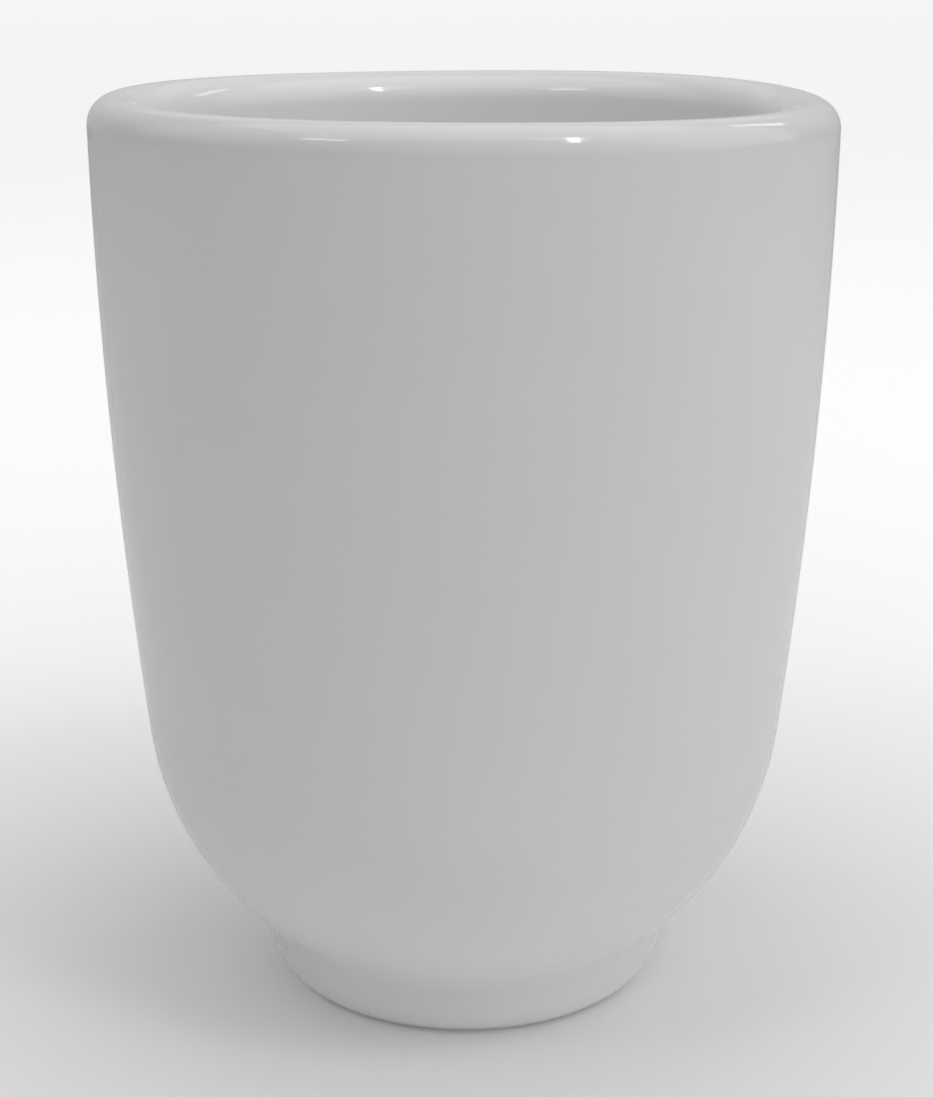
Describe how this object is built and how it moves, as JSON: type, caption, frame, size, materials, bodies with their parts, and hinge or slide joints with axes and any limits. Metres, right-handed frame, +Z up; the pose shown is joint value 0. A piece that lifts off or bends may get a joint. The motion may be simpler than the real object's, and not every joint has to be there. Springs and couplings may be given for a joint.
{
  "type": "pen holder cup",
  "caption": "Free-standing porcelain cup with a rounded rim, tapering wall, bowl-shaped base and foot ring, for holding pens upright.",
  "frame": {"origin": "centre of the foot ring's standing face, on the surface that the cup stands on", "axes": "+Z up along the cup's axis of rotation, +X and +Y across it, with no front because the cup is round"},
  "size_m": [0.08, 0.08, 0.1003],
  "materials": {
    "body_porcelain": "white porcelain under a clear, glossy glaze",
    "foot_porcelain": "white porcelain under a clear, glossy glaze, with a bare, matte standing face"
  },
  "bodies": {
    "root": {"cup_body": "body_porcelain", "foot_ring": "foot_porcelain"}
  },
  "joints": []
}
